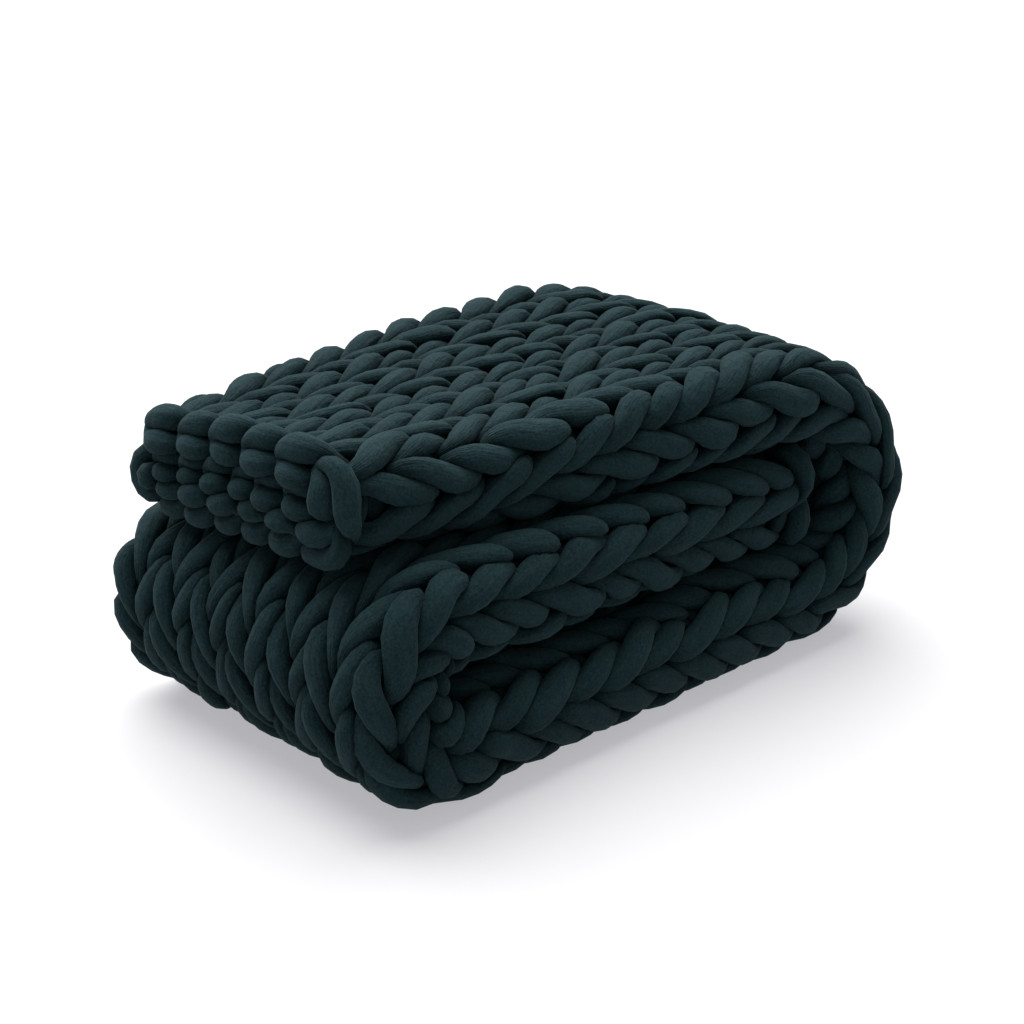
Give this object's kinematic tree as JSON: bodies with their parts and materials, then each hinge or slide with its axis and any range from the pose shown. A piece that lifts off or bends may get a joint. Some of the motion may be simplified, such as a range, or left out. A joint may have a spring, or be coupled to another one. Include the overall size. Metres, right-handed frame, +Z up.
{
  "type": "weighted blanket",
  "caption": "Chunky hand-knit weighted blanket of stuffed cotton yarn, folded in three each way into a flat-based pile.",
  "frame": {"origin": "on the ground, under the middle of the folded pile", "axes": "+Z up, Y along the pile with the free cast-on edge of the top layers at -Y, +X towards the long folded side"},
  "size_m": [0.4088, 0.7362, 0.3262],
  "materials": {
    "knit": "matt dark green cotton jersey tube, fine lengthwise ribs, knitted by hand"
  },
  "bodies": {
    "root": {"blanket": "knit"}
  },
  "joints": []
}
